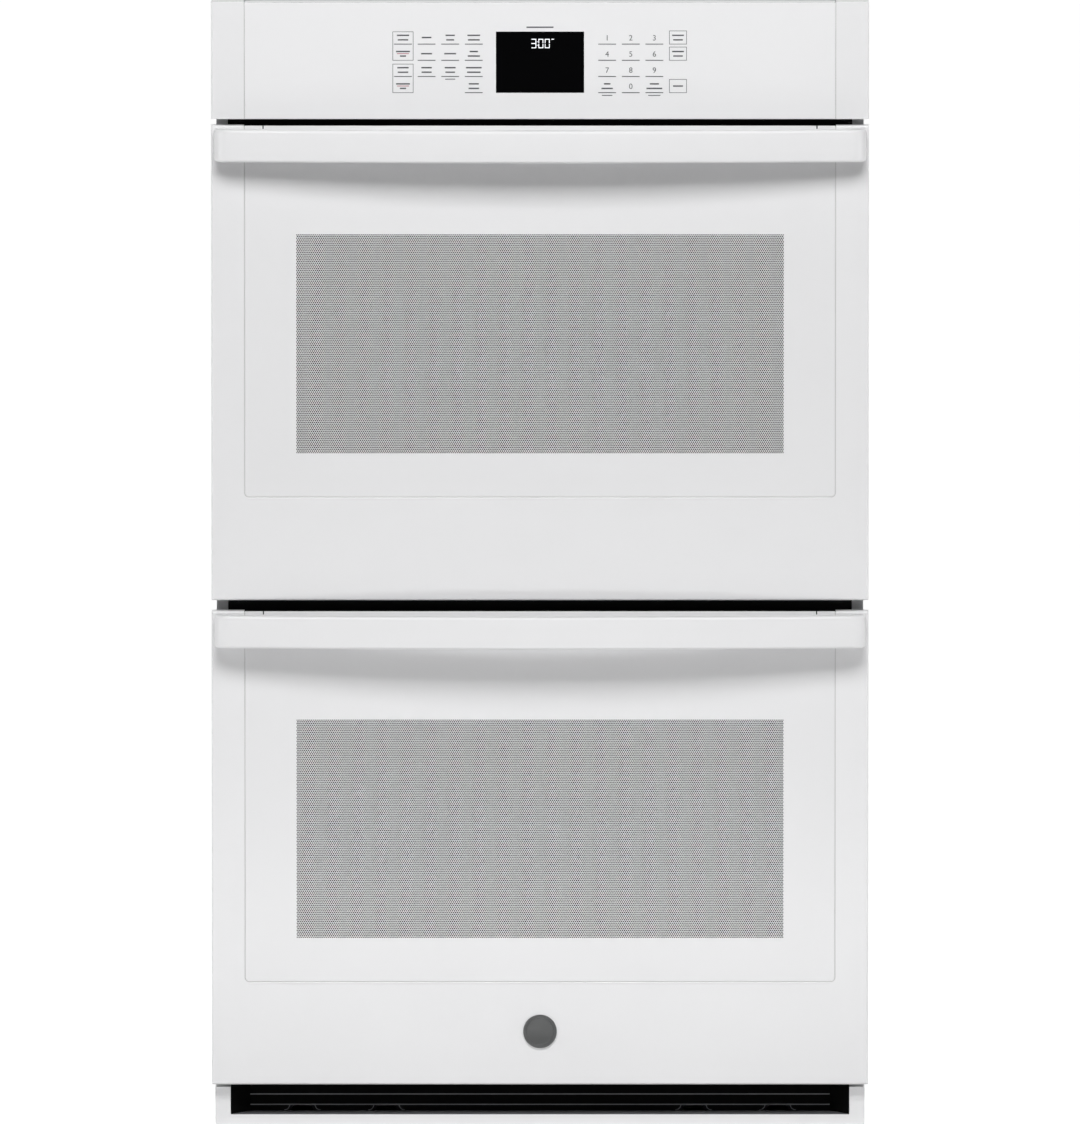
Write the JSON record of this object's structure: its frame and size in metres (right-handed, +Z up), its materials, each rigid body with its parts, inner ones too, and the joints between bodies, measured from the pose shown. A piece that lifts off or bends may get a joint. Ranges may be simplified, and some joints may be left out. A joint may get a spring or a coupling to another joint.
{
  "type": "double wall oven",
  "caption": "Built-in white wall oven in a tall steel case: stacked drop-down doors with bowed handles and dotted windows, a glass control panel, sliding racks and a bottom vent.",
  "frame": {"origin": "under the middle of the whole oven, on the cabinet shelf that carries it", "axes": "+Z up, +X to the right seen from the room, the doors face -Y"},
  "size_m": [0.7556, 0.6794, 1.2977],
  "materials": {
    "galvanised_steel": "galvanised sheet, satin",
    "dark_enamel": "fired porcelain enamel, dark blue-grey, gloss",
    "grey_paint": "grey paint, satin",
    "white_enamel": "white enamel, gloss",
    "white_moulding": "white moulding, gloss",
    "white_glass": "tempered glass fired white behind, gloss",
    "black_plastic": "black, matte",
    "glass_wool": "fibre blanket",
    "element_sheath": "oxidised alloy sheath",
    "gasket_weave": "woven glass fibre",
    "clear_glass": "clear",
    "socket_ceramic": "unglazed",
    "hinge_steel": "zinc plated",
    "chrome_wire": "plated wire",
    "board_laminate": "printed board",
    "blower_aluminium": "mill finish"
  },
  "bodies": {
    "chassis": {"base_pan": "galvanised_steel", "case_side_left": "galvanised_steel", "case_side_right": "galvanised_steel", "case_top": "galvanised_steel", "case_back": "galvanised_steel", "mid_shelf": "galvanised_steel", "front_frame": "dark_enamel", "side_trim_left": "grey_paint", "side_trim_right": "grey_paint", "bottom_trim": "white_enamel", "vent_baffle": "black_plastic", "upper_liner": "dark_enamel", "lower_liner": "dark_enamel", "upper_liner_side_left": "dark_enamel", "upper_liner_side_right": "dark_enamel", "lower_liner_side_left": "dark_enamel", "lower_liner_side_right": "dark_enamel", "insulation_blankets": "glass_wool", "upper_broil_element": "element_sheath", "lower_broil_element": "element_sheath", "bake_elements": "element_sheath", "upper_gasket": "gasket_weave", "lower_gasket": "gasket_weave", "lamp_lenses": "clear_glass", "lamp_sockets": "socket_ceramic", "temperature_sensors": "hinge_steel", "hinge_arms": "hinge_steel", "hinge_receivers": "galvanised_steel", "lock_motors": "galvanised_steel", "control_panel_glass": "white_glass", "control_panel_tray": "galvanised_steel", "control_panel_cap_left": "white_enamel", "control_panel_cap_right": "white_enamel", "control_board": "board_laminate", "blower_housing": "galvanised_steel", "blower_motor": "hinge_steel", "junction_box": "galvanised_steel"},
    "upper_door": {"upper_door_skin": "white_enamel", "upper_door_glass": "white_glass", "upper_door_handle": "white_moulding", "upper_door_handle_bolts": "hinge_steel", "upper_door_top_strip": "black_plastic", "upper_door_inner_panel": "dark_enamel", "upper_door_inner_glass": "clear_glass", "upper_door_hinges": "hinge_steel"},
    "lower_door": {"lower_door_skin": "white_enamel", "lower_door_glass": "white_glass", "lower_door_handle": "white_moulding", "lower_door_handle_bolts": "hinge_steel", "lower_door_top_strip": "black_plastic", "lower_door_inner_panel": "dark_enamel", "lower_door_inner_glass": "clear_glass", "lower_door_hinges": "hinge_steel"},
    "blower_wheel": {"blower_wheel": "blower_aluminium"},
    "upper_latch_hook": {"upper_latch_hook": "hinge_steel"},
    "upper_rack_low": {"upper_rack_low": "chrome_wire"},
    "upper_rack_high": {"upper_rack_high": "chrome_wire"},
    "lower_latch_hook": {"lower_latch_hook": "hinge_steel"},
    "lower_rack_low": {"lower_rack_low": "chrome_wire"},
    "lower_rack_high": {"lower_rack_high": "chrome_wire"}
  },
  "joints": [
    {"name": "lower_door_hinge", "type": "hinge", "parent": "chassis", "child": "lower_door", "pos_m": [0, -0.27372, 0.0622], "axis": [1, 0, 0], "range_deg": [0, 90], "stiffness_Nm_per_rad": 20, "springref_deg": -6.88},
    {"name": "lower_latch_turn", "type": "hinge", "parent": "chassis", "child": "lower_latch_hook", "pos_m": [0, -0.22173, 0.5858], "axis": [0, 0, -1], "range_deg": [0, 75]},
    {"name": "lower_rack_low_slide", "type": "slide", "parent": "chassis", "child": "lower_rack_low", "axis": [0, -1, 0], "range_m": [0, 0.3]},
    {"name": "lower_rack_high_slide", "type": "slide", "parent": "chassis", "child": "lower_rack_high", "axis": [0, -1, 0], "range_m": [0, 0.3]},
    {"name": "upper_door_hinge", "type": "hinge", "parent": "chassis", "child": "upper_door", "pos_m": [0, -0.27372, 0.6216], "axis": [1, 0, 0], "range_deg": [0, 90], "stiffness_Nm_per_rad": 20, "springref_deg": -6.88},
    {"name": "upper_latch_turn", "type": "hinge", "parent": "chassis", "child": "upper_latch_hook", "pos_m": [0, -0.22173, 1.1452], "axis": [0, 0, -1], "range_deg": [0, 75]},
    {"name": "upper_rack_low_slide", "type": "slide", "parent": "chassis", "child": "upper_rack_low", "axis": [0, -1, 0], "range_m": [0, 0.3]},
    {"name": "upper_rack_high_slide", "type": "slide", "parent": "chassis", "child": "upper_rack_high", "axis": [0, -1, 0], "range_m": [0, 0.3]},
    {"name": "blower_spin", "type": "hinge", "parent": "chassis", "child": "blower_wheel", "pos_m": [0, 0.06, 1.2037], "axis": [1, 0, 0], "continuous": true}
  ],
  "couplings": [
    {"joint": "upper_rack_low_slide", "follows": "upper_door_hinge", "m_per_rad": 0.19},
    {"joint": "upper_rack_high_slide", "follows": "upper_door_hinge", "m_per_rad": 0.19},
    {"joint": "lower_rack_low_slide", "follows": "lower_door_hinge", "m_per_rad": 0.19},
    {"joint": "lower_rack_high_slide", "follows": "lower_door_hinge", "m_per_rad": 0.19}
  ]
}
